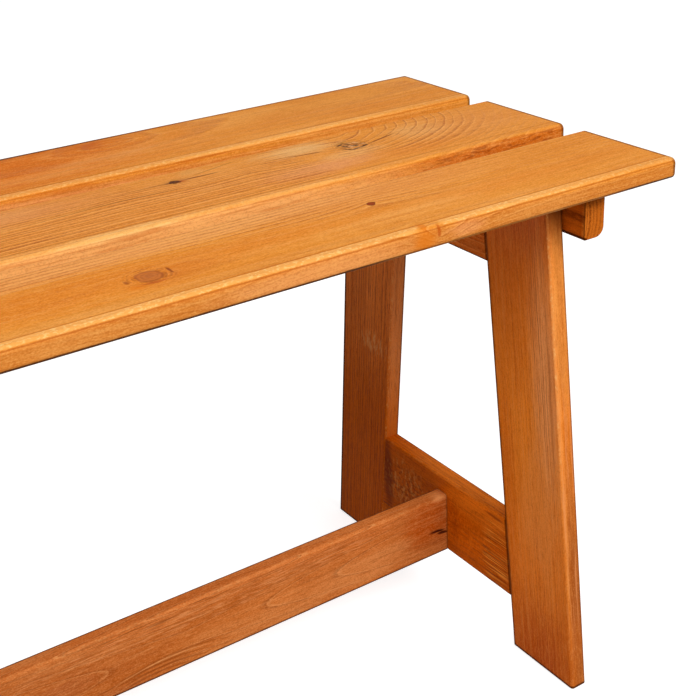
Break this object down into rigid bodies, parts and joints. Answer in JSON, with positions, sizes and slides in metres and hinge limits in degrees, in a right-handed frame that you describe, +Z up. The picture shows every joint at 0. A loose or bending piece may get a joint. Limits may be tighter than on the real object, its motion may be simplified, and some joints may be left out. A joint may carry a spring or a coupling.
{
  "type": "trestle bench",
  "caption": "Backless wooden trestle bench: a slatted seat on splayed board end frames, joined by a low central stretcher.",
  "frame": {"origin": "on the floor under the middle of the bench", "axes": "+X along the seat to the end that the picture shows, +Y from front to back, +Z up"},
  "size_m": [1.2, 0.36, 0.45],
  "materials": {
    "seat_slats": "honey-orange stained softwood, satin, with growth rings and knots",
    "battens": "stained softwood, satin",
    "legs": "stained softwood, satin, long straight grain",
    "rails": "stained softwood, satin",
    "stretcher": "stained softwood, satin, with a pitch pocket",
    "dowels": "bare beech, sanded",
    "screws": "zinc-plated steel"
  },
  "bodies": {
    "root": {"seat_slat_front": "seat_slats", "seat_slat_middle": "seat_slats", "seat_slat_back": "seat_slats", "batten_left": "battens", "batten_centre": "battens", "batten_right": "battens", "leg_front_left": "legs", "leg_back_left": "legs", "leg_front_right": "legs", "leg_back_right": "legs", "top_rail_left": "rails", "top_rail_right": "rails", "lower_rail_left": "rails", "lower_rail_right": "rails", "stretcher": "stretcher", "top_rail_dowels_left": "dowels", "top_rail_dowels_right": "dowels", "lower_rail_dowels_left": "dowels", "lower_rail_dowels_right": "dowels", "slat_screws_left": "screws", "slat_screws_centre": "screws", "slat_screws_right": "screws", "frame_screws_left": "screws", "frame_screws_right": "screws", "stretcher_screws_left": "screws", "stretcher_screws_right": "screws"}
  },
  "joints": []
}
